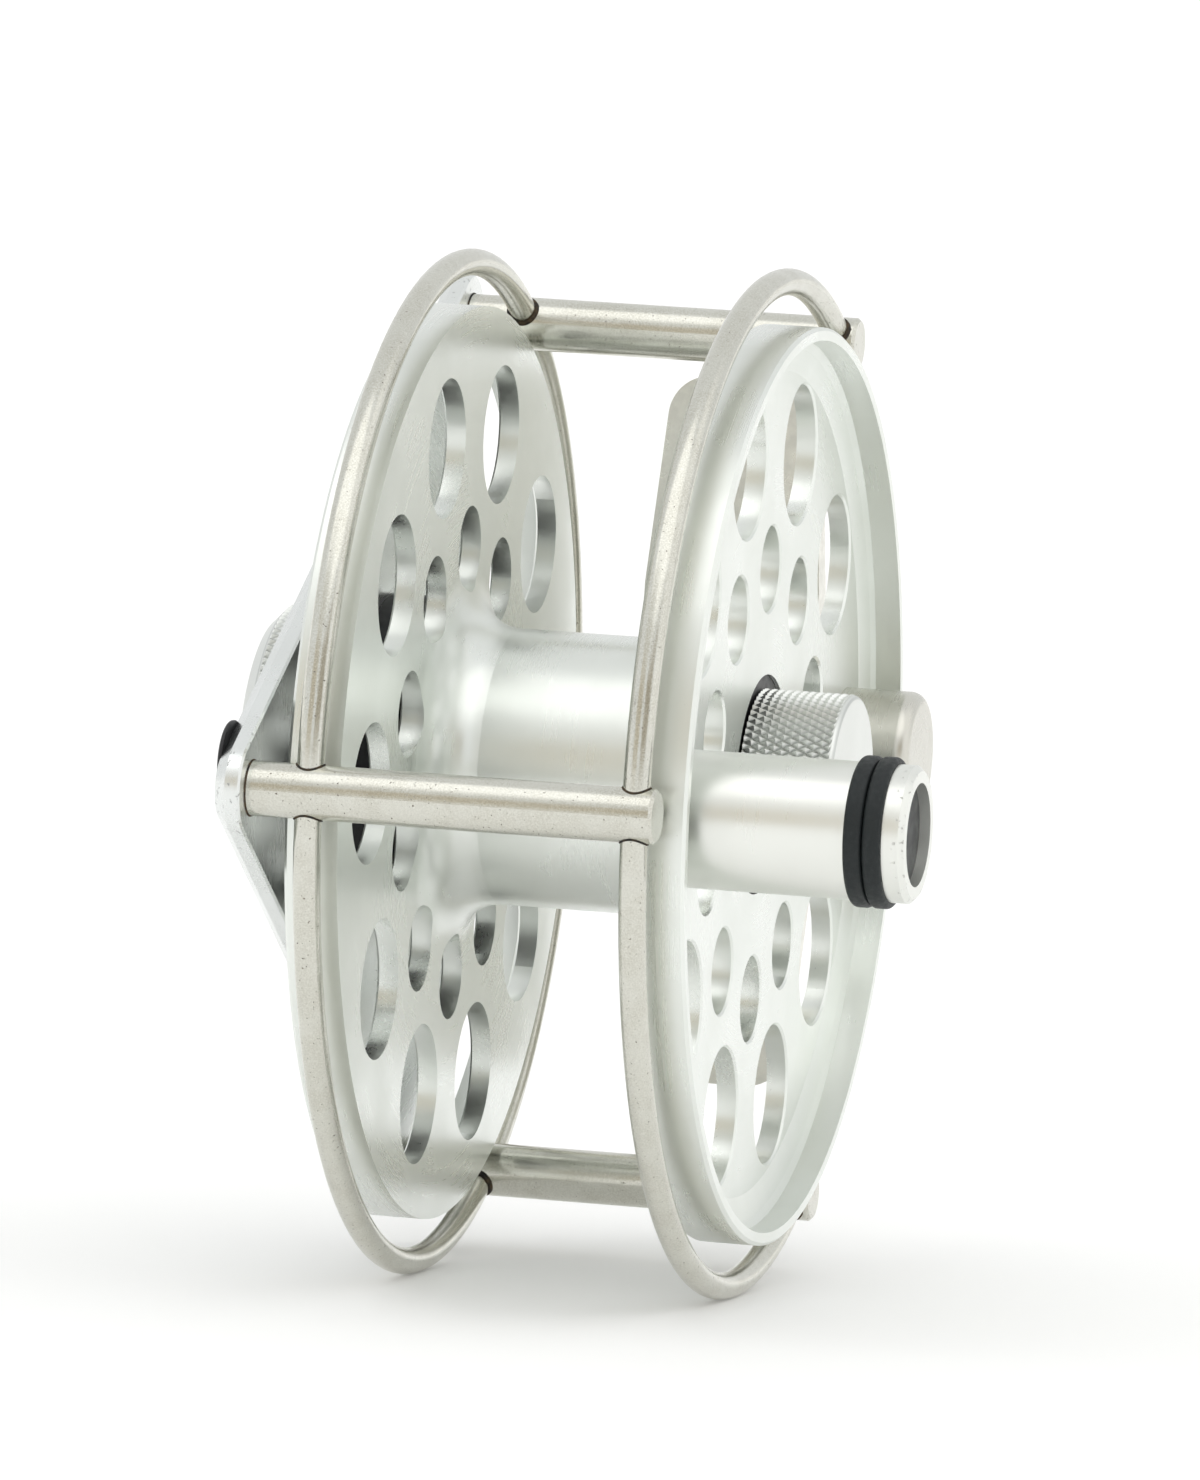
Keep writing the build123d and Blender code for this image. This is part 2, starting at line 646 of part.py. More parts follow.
with BuildPart() as foot:
    parallel = FOOT_PARALLEL / 2
    with BuildSketch(Plane.XZ) as outline:
        with BuildLine():
            Polyline(
                (FOOT_HALF_W, -parallel),
                (FOOT_HALF_W, parallel),
                (FOOT_TIP_HALF_W, FOOT_TOP_Z),
                (-FOOT_TIP_HALF_W, FOOT_TOP_Z),
                (-FOOT_HALF_W, parallel),
                (-FOOT_HALF_W, -parallel),
                (-FOOT_TIP_HALF_W, FOOT_BOTTOM_Z),
                (FOOT_TIP_HALF_W, FOOT_BOTTOM_Z),
                close=True,
            )
        make_face()
        fillet(outline.vertices().group_by(Axis.Z)[0] + outline.vertices().group_by(Axis.Z)[-1],
               FOOT_TIP_FILLET)
    extrude(amount=FOOT_T)
    with BuildSketch(Plane.YZ) as ramps:
        for end, way in ((FOOT_TOP_Z, 1), (FOOT_BOTTOM_Z, -1)):
            with BuildLine():
                Polyline(
                    (-FOOT_T, way * FOOT_RAMP_START),
                    (-FOOT_T, end + way * FOOT_OVERCUT),
                    (-FOOT_TIP_T, end + way * FOOT_OVERCUT),
                    (-FOOT_TIP_T, end),
                    close=True,
                )
            make_face()
    extrude(amount=2 * FOOT_HALF_W, both=True, mode=Mode.SUBTRACT)
    add(foot_screws.part, mode=Mode.SUBTRACT)
save(foot, "foot")

with BuildPart() as foot_saddle:
    with BuildSketch(Plane.XZ.offset(FOOT_T)) as block:
        RectangleRounded(SADDLE_LENGTH, SADDLE_W, SADDLE_FILLET)
    extrude(amount=SADDLE_T)
    with BuildSketch(Plane.XZ.offset(FOOT_T)) as slots:
        with GridLocations(2 * RING_X, 0, 2, 1):
            Rectangle(2 * ROD_R, SADDLE_W)
    extrude(amount=SEAT_R - RING_R - FOOT_T, mode=Mode.SUBTRACT)
    add([rear_ring.part, front_ring.part, foot_screws.part], mode=Mode.SUBTRACT)
save(foot_saddle, "foot_saddle")
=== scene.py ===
"""Looks of the fly reel: camera, studio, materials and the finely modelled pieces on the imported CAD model.

Metres, in the frame of the model: +X runs along the spool's axis towards the winding handle, +Y points at
the rod and +Z is up. Places and outer sizes come from the frame's own boxes.
"""

import json
import math

import bmesh
import bpy
from mathutils import Matrix, Vector


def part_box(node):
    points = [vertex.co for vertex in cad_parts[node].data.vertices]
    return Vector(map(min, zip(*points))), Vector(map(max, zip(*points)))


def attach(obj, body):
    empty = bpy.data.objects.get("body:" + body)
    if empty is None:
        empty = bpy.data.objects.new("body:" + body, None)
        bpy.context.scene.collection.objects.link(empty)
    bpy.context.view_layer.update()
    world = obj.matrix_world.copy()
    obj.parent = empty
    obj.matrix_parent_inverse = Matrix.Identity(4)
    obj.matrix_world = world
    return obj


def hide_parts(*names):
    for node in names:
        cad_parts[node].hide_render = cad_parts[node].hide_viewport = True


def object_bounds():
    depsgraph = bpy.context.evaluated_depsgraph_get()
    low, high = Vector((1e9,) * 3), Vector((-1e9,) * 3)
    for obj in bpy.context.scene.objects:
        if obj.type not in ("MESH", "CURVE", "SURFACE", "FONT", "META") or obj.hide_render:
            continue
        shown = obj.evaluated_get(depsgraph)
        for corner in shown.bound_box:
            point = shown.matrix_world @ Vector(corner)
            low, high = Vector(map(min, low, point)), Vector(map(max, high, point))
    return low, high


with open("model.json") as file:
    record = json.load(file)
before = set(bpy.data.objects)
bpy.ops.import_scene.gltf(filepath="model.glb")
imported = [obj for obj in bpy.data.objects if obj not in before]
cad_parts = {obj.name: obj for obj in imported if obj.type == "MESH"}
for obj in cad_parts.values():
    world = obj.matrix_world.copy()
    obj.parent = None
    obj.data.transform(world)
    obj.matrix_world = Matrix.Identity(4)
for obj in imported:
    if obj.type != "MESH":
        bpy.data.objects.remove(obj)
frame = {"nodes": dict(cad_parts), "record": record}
cad_low, cad_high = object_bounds()

MM = 0.001
TURN = 2 * math.pi

# View of the reel: where the camera stands, how it is rolled and how long its lens is
VIEW_AZIMUTH = math.radians(14.060)
VIEW_ELEVATION = math.radians(4.168)
VIEW_ROLL = math.radians(3.037)
VIEW_DISTANCE = 1300 * MM
VIEW_RIGHT = 0.019 * MM
VIEW_UP = 3.037 * MM
LENS = 341.24
SENSOR = 36

# Studio: a pale floor that curves up into a low wall all round, under a soft sky
FLOOR_R = 4.2
FLOOR_MIDDLE_R = 0.5
FLOOR_SIDES = 96
WALL_CURVE_R = 0.25
WALL_CURVE_STEPS = 12
WALL_H = 0.17
FLOOR_COLOUR = (0.93, 0.93, 0.925, 1)
FLOOR_ROUGHNESS = 0.9
FLOOR_SPECULAR = 0.1
FLOOR_GLOW = 0.12
SKY_COLOUR = (0.93, 0.94, 0.95, 1)

# What the metal mirrors, as (azimuths, elevations, softness, colour), in degrees and with azimuth as for the
# camera. Azimuths are counted from SKY_SEAM degrees before each patch
SKY_SEAM = 90
SKY_PATCHES = (
    ((95, 265), (-90, 90), 25, (0.86, 0.87, 0.87, 1)),
    ((-80, 80), (38, 88), 8, (1.50, 1.50, 1.49, 1)),
    ((70, 125), (-10, 60), 20, (1.12, 1.12, 1.11, 1)),
    ((-50, 2), (22, 46), 20, (0.86, 0.86, 0.84, 1)),
    ((-42, -3), (-2, 27), 4, (0.68, 0.63, 0.53, 1)),
    ((20, 62), (4, 27), 5, (0.50, 0.46, 0.38, 1)),
)

# Sockets of a Mix node that mixes colours
MIX_SHARE = 0
MIX_FIRST = 6
MIX_SECOND = 7
MIX_RESULT = 2

# Turned lines of a metal, for each millimetre
TURNED_LINES = 3.0

# Knurling, edges and pockets of the cap and the drag knob
KNURL_PITCH = 0.80 * MM
KNURL_ROW = 0.72 * MM
KNURL_DEPTH = 0.34 * MM
KNURL_FLAT = 0.16
CAP_BAND = 0.55 * MM
CAP_EDGE = 0.10 * MM
CAP_ROUNDING = 0.42 * MM
CAP_ROUNDING_STEPS = 6
CAP_THREAD_RUNOUT = 1.3 * MM
KNOB_EDGE = 0.5 * MM
KNOB_CHAMFER = 1.5 * MM
KNOB_STEP = 0.15 * MM
KNOB_STEP_DEPTH = 0.12 * MM
SPRING_CLEARANCE = 0.8 * MM
SPRING_POCKET = 1.5 * MM
NUT_POCKET = 3.5 * MM
CLIP_POCKET = 2.0 * MM
THREAD_BORE_R = 3.05 * MM
RUNNING_GAP = 0.05 * MM
KNURL_SMOOTH = math.radians(24)

# Painted shade: dark lines at the joints of the cage, closed ones and those that show a gap
SHADE_LINE_R = 0.12 * MM
GAP_SHADE_R = 0.30 * MM
SHADE_LINE_STEPS = 40
SHADE_LINE_SIDES = 8
SHADE_LINE_SMOOTH = math.radians(60)


def middle(node):
    """Centre of a CAD node's box."""
    low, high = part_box(node)
    return (low + high) / 2


def half_width(node):
    """Half of a CAD node's extent across the spool's axis: the radius of a round piece."""
    low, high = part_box(node)
    return (high.y - low.y) / 2


SPOOL_AXIS = middle("spool")
GRIP_AXIS = middle("handle_grip")
WEIGHT_AXIS = middle("counterweight")

# ------------------------------------------------------------------------------ camera, floor, light


def make_camera():
    """A long lens a little above the spool's axis and to its right, with a slight roll."""
    sin_a, cos_a = math.sin(VIEW_AZIMUTH), math.cos(VIEW_AZIMUTH)
    sin_e, cos_e = math.sin(VIEW_ELEVATION), math.cos(VIEW_ELEVATION)
    back = Vector((sin_a * cos_e, -cos_a * cos_e, sin_e))
    level = Vector((cos_a, sin_a, 0))
    roll = Matrix.Rotation(VIEW_ROLL, 3, back)
    right = roll @ level
    up = roll @ back.cross(level)
    camera = bpy.data.objects.new("camera", bpy.data.cameras.new("camera"))
    camera.data.sensor_width = SENSOR
    camera.data.lens = LENS
    camera.data.clip_end = 50
    target = Vector((0, SPOOL_AXIS.y, SPOOL_AXIS.z))
    place = target + right * VIEW_RIGHT + up * VIEW_UP + back * VIEW_DISTANCE
    camera.matrix_world = Matrix.Translation(place) @ Matrix((right, up, back)).transposed().to_4x4()
    bpy.context.scene.collection.objects.link(camera)
    bpy.context.scene.camera = camera


def link_mesh(name, mesh, smooth_below):
    """Finish a bmesh as an object; faces meeting at less than smooth_below radians are shaded as one."""
    bmesh.ops.recalc_face_normals(mesh, faces=mesh.faces)
    data = bpy.data.meshes.new(name)
    for face in mesh.faces:
        face.smooth = True
    for edge in mesh.edges:
        edge.smooth = len(edge.link_faces) == 2 and edge.calc_face_angle() < smooth_below
    mesh.to_mesh(data)
    mesh.free()
    piece = bpy.data.objects.new(name, data)
    bpy.context.scene.collection.objects.link(piece)
    return piece


def circle(mesh, centre, x, radius, angles):
    """Vertices round the line through centre parallel to X, or the one vertex on that line."""
    if radius <= 0:
        return [mesh.verts.new((x, centre.y, centre.z))]
    return [
        mesh.verts.new((x, centre.y + radius * math.cos(a), centre.z + radius * math.sin(a)))
        for a in angles
    ]


def join(mesh, first, second):
    """Faces between two circles of vertices, either of which may be a single point."""
    count = max(len(first), len(second))
    for i in range(count):
        j = (i + 1) % count
        corners = []
        for ring, k in ((first, i), (first, j), (second, j), (second, i)):
            vertex = ring[k % len(ring)]
            if vertex not in corners:
                corners.append(vertex)
        mesh.faces.new(corners)


def make_floor():
    """The floor and its curved-up rim, a surface of revolution about the vertical."""
    level = cad_low.z
    mesh = bmesh.new()
    profile = [(0, level), (FLOOR_MIDDLE_R, level), (FLOOR_R, level)]
    for i in range(1, WALL_CURVE_STEPS + 1):
        a = TURN / 4 * i / WALL_CURVE_STEPS
        profile.append((FLOOR_R + WALL_CURVE_R * math.sin(a), level + WALL_CURVE_R * (1 - math.cos(a))))
    profile.append((FLOOR_R + WALL_CURVE_R, level + WALL_CURVE_R + WALL_H))
    angles = [TURN * i / FLOOR_SIDES for i in range(FLOOR_SIDES)]
    rings = []
    for radius, z in profile:
        if radius <= 0:
            rings.append([mesh.verts.new((0, SPOOL_AXIS.y, z))])
        else:
            rings.append([
                mesh.verts.new((radius * math.cos(a), SPOOL_AXIS.y + radius * math.sin(a), z))
                for a in angles
            ])
    for first, second in zip(rings, rings[1:]):
        join(mesh, first, second)
    floor = link_mesh("studio_floor", mesh, TURN / 8)
    paper = bpy.data.materials.new("studio_paper")
    paper.use_nodes = True
    shader = paper.node_tree.nodes["Principled BSDF"]
    shader.inputs["Base Color"].default_value = FLOOR_COLOUR
    shader.inputs["Roughness"].default_value = FLOOR_ROUGHNESS
    shader.inputs["Specular IOR Level"].default_value = FLOOR_SPECULAR
    shader.inputs["Emission Color"].default_value = FLOOR_COLOUR
    shader.inputs["Emission Strength"].default_value = FLOOR_GLOW
    floor.data.materials.append(paper)


def make_sky():
    """A pale sky with a broad soft light above, and the paler and darker parts that the metal mirrors."""
    world = bpy.data.worlds.new("studio_sky")
    bpy.context.scene.world = world
    world.use_nodes = True
    tree = world.node_tree
    background = tree.nodes["Background"]

    def maths(operation, *values):
        node = tree.nodes.new("ShaderNodeMath")
        node.operation = operation
        for socket, value in zip(node.inputs, values):
            if isinstance(value, bpy.types.NodeSocket):
                tree.links.new(value, socket)
            else:
                socket.default_value = value
        return node.outputs[0]

    def within(value, ends, soft):
        """1 where value is between the ends, fading to 0 over soft degrees at each."""
        share = None
        for edge, outside in ((ends[0], -1), (ends[1], 1)):
            node = tree.nodes.new("ShaderNodeMapRange")
            node.interpolation_type = "SMOOTHSTEP"
            tree.links.new(value, node.inputs["Value"])
            node.inputs["From Min"].default_value = edge + outside * soft / 2
            node.inputs["From Max"].default_value = edge - outside * soft / 2
            inside = node.outputs["Result"]
            share = inside if share is None else maths("MULTIPLY", share, inside)
        return share

    direction = tree.nodes.new("ShaderNodeTexCoord").outputs["Generated"]
    axes = tree.nodes.new("ShaderNodeSeparateXYZ")
    tree.links.new(direction, axes.inputs[0])
    x, y, z = axes.outputs
    azimuth = maths("DEGREES", maths("ARCTAN2", x, maths("MULTIPLY", y, -1.0)))
    elevation = maths("DEGREES", maths("ARCSINE", z))
    colour = SKY_COLOUR
    for azimuths, elevations, soft, patch in SKY_PATCHES:
        seam = azimuths[0] - SKY_SEAM
        turn = maths("WRAP", azimuth, seam + 360, seam)
        share = maths("MULTIPLY", within(turn, azimuths, soft), within(elevation, elevations, soft))
        mix = tree.nodes.new("ShaderNodeMix")
        mix.data_type = "RGBA"
        tree.links.new(share, mix.inputs["Factor"])
        if isinstance(colour, bpy.types.NodeSocket):
            tree.links.new(colour, mix.inputs[MIX_FIRST])
        else:
            mix.inputs[MIX_FIRST].default_value = colour
        mix.inputs[MIX_SECOND].default_value = patch
        colour = mix.outputs[MIX_RESULT]
    tree.links.new(colour, background.inputs["Color"])


def make_studio():
    make_floor()
    make_sky()


# ------------------------------------------------------------------------------------------ materials


class Recipe:
    """A node material. Positions in it are millimetres in the frame of the model."""

    def __init__(self, name, finish):
        self.material = bpy.data.materials.new(name)
        self.material.use_nodes = True
        self.tree = self.material.node_tree
        self.shader = self.tree.nodes["Principled BSDF"]
        for socket, value in finish.items():
            self.shader.inputs[socket].default_value = value
        texture = self.node("ShaderNodeTexCoord")
        scaled = self.node("ShaderNodeVectorMath", operation="SCALE")
        self.feed(scaled.inputs[0], texture.outputs["Object"])
        scaled.inputs["Scale"].default_value = 1 / MM
        self.place = scaled.outputs[0]

    def node(self, kind, **settings):
        made = self.tree.nodes.new(kind)
        for name, value in settings.items():
            setattr(made, name, value)
        return made

    def feed(self, socket, value):
        if isinstance(value, bpy.types.NodeSocket):
            self.tree.links.new(value, socket)
        else:
            socket.default_value = value

    def maths(self, operation, *values):
        made = self.node("ShaderNodeMath", operation=operation)
        for socket, value in zip(made.inputs, values):
            self.feed(socket, value)
        return made.outputs[0]

    def apart(self, vector):
        made = self.node("ShaderNodeSeparateXYZ")
        self.feed(made.inputs[0], vector)
        return made.outputs

    def together(self, x, y, z):
        made = self.node("ShaderNodeCombineXYZ")
        for socket, value in zip(made.inputs, (x, y, z)):
            self.feed(socket, value)
        return made.outputs[0]

    def about(self, axis):
        """Angle, radius and x about the line through axis parallel to X."""
        x, y, z = self.apart(self.place)
        y = self.maths("SUBTRACT", y, axis.y / MM)
        z = self.maths("SUBTRACT", z, axis.z / MM)
        angle = self.maths("ARCTAN2", z, y)
        squares = self.maths("ADD", self.maths("MULTIPLY", y, y), self.maths("MULTIPLY", z, z))
        return angle, self.maths("SQRT", squares), x

    def noise(self, vector, scale, detail=2.0, roughness=0.5):
        made = self.node("ShaderNodeTexNoise")
        self.feed(made.inputs["Vector"], vector)
        for socket, value in (("Scale", scale), ("Detail", detail), ("Roughness", roughness)):
            made.inputs[socket].default_value = value
        return made.outputs["Fac"]

    def span(self, value, low, high, to_low=0.0, to_high=1.0):
        """value from low to high brought smoothly to to_low to to_high."""
        made = self.node("ShaderNodeMapRange", interpolation_type="SMOOTHSTEP")
        self.feed(made.inputs["Value"], value)
        ends = {"From Min": low, "From Max": high, "To Min": to_low, "To Max": to_high}
        for socket, number in ends.items():
            self.feed(made.inputs[socket], number)
        return made.outputs["Result"]

    def blend(self, share, first, second):
        """first where share is 0 and second where it is 1; both are colours."""
        made = self.node("ShaderNodeMix", data_type="RGBA")
        self.feed(made.inputs[MIX_SHARE], share)
        self.feed(made.inputs[MIX_FIRST], first)
        self.feed(made.inputs[MIX_SECOND], second)
        return made.outputs[MIX_RESULT]

    def colour(self, value):
        self.feed(self.shader.inputs["Base Color"], value)

    def tint(self, share, colour):
        """Lay another colour over the present one where share is 1."""
        base = self.shader.inputs["Base Color"]
        below = base.links[0].from_socket
        self.tree.links.new(self.blend(share, below, colour), base)

    def roughness(self, value):
        self.feed(self.shader.inputs["Roughness"], value)

    def relief(self, height, depth):
        """Bump the surface by height, 0 to 1, times depth in millimetres."""
        made = self.node("ShaderNodeBump")
        made.inputs["Strength"].default_value = 1.0
        made.inputs["Distance"].default_value = depth * MM
        self.feed(made.inputs["Height"], height)
        previous = self.shader.inputs["Normal"]
        if previous.is_linked:
            self.tree.links.new(previous.links[0].from_socket, made.inputs["Normal"])
        self.tree.links.new(made.outputs[0], previous)


def tone(red, green, blue):
    return (red, green, blue, 1)


def turned_metal(name, axis, base, worn, rough, metallic=1.0, line_depth=0.0002, grain=3.2):
    """Satin metal with faint lines round an axis, fine grain, faint stains and a few small dark nicks."""
    recipe = Recipe(name, {"Metallic": metallic})
    angle, radius, x = recipe.about(axis)
    outwards = recipe.maths("MULTIPLY", radius, TURNED_LINES)
    along = recipe.maths("MULTIPLY", x, TURNED_LINES)
    lines = recipe.noise(recipe.together(angle, outwards, along), 1.0)
    speckle = recipe.noise(recipe.place, grain, 2.0, 0.6)
    cloud = recipe.noise(recipe.place, 0.10, 3.0)
    nicks = recipe.span(recipe.noise(recipe.place, 1.9, 3.0, 0.6), 0.745, 0.775)
    shade = recipe.blend(recipe.span(cloud, 0.3, 0.7), base, worn)
    shade = recipe.blend(recipe.maths("MULTIPLY", nicks, 0.5), shade, tone(0.45, 0.46, 0.44))
    recipe.colour(shade)
    uneven = recipe.maths(
        "ADD", recipe.span(lines, 0.25, 0.75, -0.02, 0.02), recipe.span(cloud, 0.3, 0.7, -0.03, 0.03)
    )
    recipe.roughness(recipe.maths("ADD", uneven, rough))
    recipe.relief(lines, line_depth)
    recipe.relief(speckle, 0.0012)
    return recipe


def spool_aluminium():
    base, worn = tone(0.84, 0.865, 0.83), tone(0.80, 0.825, 0.785)
    return turned_metal("spool_aluminium", SPOOL_AXIS, base, worn, 0.30, metallic=0.94)


def grip_aluminium():
    """Turned satin metal, bruised round the rim of the grip's end."""
    recipe = turned_metal(
        "grip_aluminium",
        GRIP_AXIS,
        tone(0.84, 0.85, 0.81),
        tone(0.82, 0.83, 0.79),
        0.31,
        metallic=0.90,
        line_depth=0.0001,
    )
    _, radius, x = recipe.about(GRIP_AXIS)
    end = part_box("handle_grip")[1].x / MM
    at_rim = recipe.maths("MULTIPLY", recipe.span(x, end - 1.3, end - 0.6), recipe.span(radius, 5.4, 5.7))
    bruises = recipe.span(recipe.noise(recipe.place, 2.0, 3.0, 0.65), 0.62, 0.68)
    bruises = recipe.maths("MULTIPLY", bruises, at_rim)
    recipe.tint(recipe.maths("MULTIPLY", bruises, 0.55), tone(0.30, 0.29, 0.27))
    recipe.relief(recipe.maths("SUBTRACT", 1.0, bruises), 0.06)
    return recipe


def weight_steel():
    return turned_metal("weight_steel", WEIGHT_AXIS, tone(0.68, 0.67, 0.615), tone(0.64, 0.63, 0.575), 0.26)


def knurled_aluminium(name, radius):
    """Bright metal whose grooves, deeper than the given radius, are painted darker as shade."""
    recipe = turned_metal(name, SPOOL_AXIS, tone(0.80, 0.815, 0.79), tone(0.77, 0.785, 0.76), 0.36)
    _, distance, _ = recipe.about(SPOOL_AXIS)
    top, depth = radius / MM, KNURL_DEPTH / MM
    # Painted shade: a darker tint down in the knurl's grooves.
    groove = recipe.span(distance, top - 0.8 * depth, top - 0.35 * depth, 1.0, 0.0)
    outside = recipe.span(distance, top - 1.4 * depth, top - 1.2 * depth)
    groove_shade = recipe.maths("MULTIPLY", recipe.maths("MULTIPLY", groove, outside), 0.34)
    recipe.tint(groove_shade, tone(0.30, 0.32, 0.31))
    return recipe


def plate_aluminium():
    """Satin plate with small dents, most of them at its three noses."""
    recipe = turned_metal(
        "plate_aluminium", SPOOL_AXIS, tone(0.83, 0.85, 0.84), tone(0.78, 0.80, 0.785), 0.27, grain=5.0
    )
    _, radius, _ = recipe.about(SPOOL_AXIS)
    at_nose = recipe.span(radius, 44.0, 49.0)
    dents = recipe.span(recipe.noise(recipe.place, 1.7, 3.0, 0.6), 0.63, 0.68)
    share = recipe.maths("ADD", recipe.maths("MULTIPLY", at_nose, 0.85), 0.15)
    dents = recipe.maths("MULTIPLY", dents, share)
    recipe.tint(recipe.maths("MULTIPLY", dents, 0.55), tone(0.33, 0.34, 0.33))
    recipe.relief(recipe.maths("SUBTRACT", 1.0, dents), 0.08)
    return recipe


def cage_steel(name, grain_place):
    """Satin round bar: grain along it, pits, small stains and fine scratches. grain_place(recipe) gives
    positions whose first part runs along the bar."""
    recipe = Recipe(name, {"Metallic": 1.0})
    along, across_1, across_2 = recipe.apart(grain_place(recipe))
    stretched = recipe.together(
        recipe.maths("MULTIPLY", along, 0.35),
        recipe.maths("MULTIPLY", across_1, 3.2),
        recipe.maths("MULTIPLY", across_2, 3.2),
    )
    grain = recipe.noise(stretched, 1.5, 4.0, 0.6)
    cloud = recipe.noise(recipe.place, 0.30, 4.0, 0.6)
    speckle = recipe.noise(recipe.place, 6.5, 3.0, 0.7)
    pits = recipe.span(recipe.noise(recipe.place, 3.4, 3.0, 0.6), 0.665, 0.71)
    marks = recipe.span(recipe.noise(recipe.place, 0.9, 6.0, 0.75), 0.675, 0.70)
    stains = recipe.span(cloud, 0.35, 0.65)
    shade = recipe.blend(stains, tone(0.625, 0.620, 0.560), tone(0.570, 0.560, 0.495))
    shade = recipe.blend(recipe.span(speckle, 0.35, 0.70, 0.0, 0.8), shade, tone(0.73, 0.725, 0.665))
    shade = recipe.blend(recipe.maths("MULTIPLY", pits, 0.75), shade, tone(0.12, 0.09, 0.06))
    shade = recipe.blend(recipe.maths("MULTIPLY", marks, 0.45), shade, tone(0.25, 0.20, 0.14))
    recipe.colour(shade)
    satin = recipe.span(grain, 0.3, 0.7, 0.15, 0.23)
    recipe.roughness(recipe.maths("ADD", satin, recipe.maths("MULTIPLY", pits, 0.3)))
    recipe.relief(grain, 0.005)
    recipe.relief(speckle, 0.005)
    recipe.relief(recipe.maths("SUBTRACT", 1.0, pits), 0.03)
    return recipe


def cage_rings():
    def place(recipe):
        angle, radius, x = recipe.about(SPOOL_AXIS)
        return recipe.together(recipe.maths("MULTIPLY", angle, 46.5), radius, x)

    return cage_steel("cage_steel", place)


def cage_bars():
    return cage_steel("cage_steel_bars", lambda recipe: recipe.place)


def joint_shade_and_rust():
    """A painted shadow: the near-black line where a ring enters a bar, with real rust-brown stains."""
    recipe = Recipe("joint_shade_and_rust", {"Metallic": 0.0, "Specular IOR Level": 0.2})
    stain = recipe.noise(recipe.place, 1.5, 3.0)
    rust = recipe.span(stain, 0.35, 0.65)
    # Painted shade: near-black for the shadow in the joint, blended with brown rust stains.
    recipe.colour(recipe.blend(rust, tone(0.020, 0.020, 0.020), tone(0.085, 0.060, 0.035)))
    recipe.roughness(recipe.span(stain, 0.3, 0.7, 0.6, 0.8))
    recipe.relief(stain, 0.02)
    return recipe


def plain_metal(name, base, rough, metallic=1.0):
    """A plain surface with fine grain and uneven shine, for the foot, screws and inner pieces."""
    recipe = Recipe(name, {"Metallic": metallic})
    cloud = recipe.noise(recipe.place, 0.8, 3.0)
    darker = tuple(0.90 * c for c in base[:3]) + (1,)
    recipe.colour(recipe.blend(recipe.span(cloud, 0.3, 0.7), base, darker))
    recipe.roughness(recipe.span(cloud, 0.3, 0.7, rough - 0.05, rough + 0.05))
    recipe.relief(recipe.noise(recipe.place, 6.0, 3.0, 0.6), 0.0015)
    return recipe


def grip_rubber():
    recipe = Recipe("grip_rubber", {"Metallic": 0.0, "Specular IOR Level": 0.4})
    dust = recipe.span(recipe.noise(recipe.place, 3.0, 4.0, 0.7), 0.55, 0.80, 0.0, 0.25)
    recipe.colour(recipe.blend(dust, tone(0.008, 0.012, 0.013), tone(0.055, 0.065, 0.065)))
    recipe.roughness(recipe.span(recipe.noise(recipe.place, 2.0, 3.0), 0.3, 0.7, 0.45, 0.6))
    recipe.relief(recipe.noise(recipe.place, 8.0, 3.0, 0.6), 0.010)
    return recipe


def build_materials():
    return {
        "cage_steel": cage_rings(),
        "cage_steel_bars": cage_bars(),
        "joint_shade_and_rust": joint_shade_and_rust(),
        "plate_aluminium": plate_aluminium(),
        "pad_rubber": plain_metal("pad_rubber", tone(0.012, 0.012, 0.014), 0.45, 0.0),
        "foot_steel": plain_metal("foot_steel", tone(0.84, 0.83, 0.77), 0.32),
        "hardware_steel": plain_metal("hardware_steel", tone(0.62, 0.62, 0.62), 0.3),
        "black_anodised": plain_metal("black_anodised", tone(0.022, 0.022, 0.024), 0.4, 0.4),
        "friction_lining": plain_metal("friction_lining", tone(0.04, 0.04, 0.04), 0.6, 0.0),
        "nut_brass": plain_metal("nut_brass", tone(0.80, 0.62, 0.28), 0.3),
        "knob_aluminium": knurled_aluminium("knob_aluminium", half_width("drag_knob")),
        "cap_aluminium": knurled_aluminium("cap_aluminium", half_width("spool_cap")),
        "spool_aluminium": spool_aluminium(),
        "seal_rubber": plain_metal("seal_rubber", tone(0.02, 0.02, 0.02), 0.55, 0.0),
        "weight_steel": weight_steel(),
        "grip_aluminium": grip_aluminium(),
        "bush_nylon": plain_metal("bush_nylon", tone(0.80, 0.78, 0.72), 0.45, 0.0),
        "plug_grey": plain_metal("plug_grey", tone(0.035, 0.038, 0.038), 0.5, 0.2),
        "grip_rubber": grip_rubber(),
    }


def dress_nodes(recipes):
    """Give each CAD node the recipe of its slot in the record."""
    slots = {part["node"]: part["material_slot"] for part in frame["record"]["subparts"]}
    for name, node in frame["nodes"].items():
        node.data.materials.clear()
        recipe = "cage_steel_bars" if name.startswith("crossbar") else slots[name]
        node.data.materials.append(recipes[recipe].material)


# ------------------------------------------------------------------------------------- fine pieces


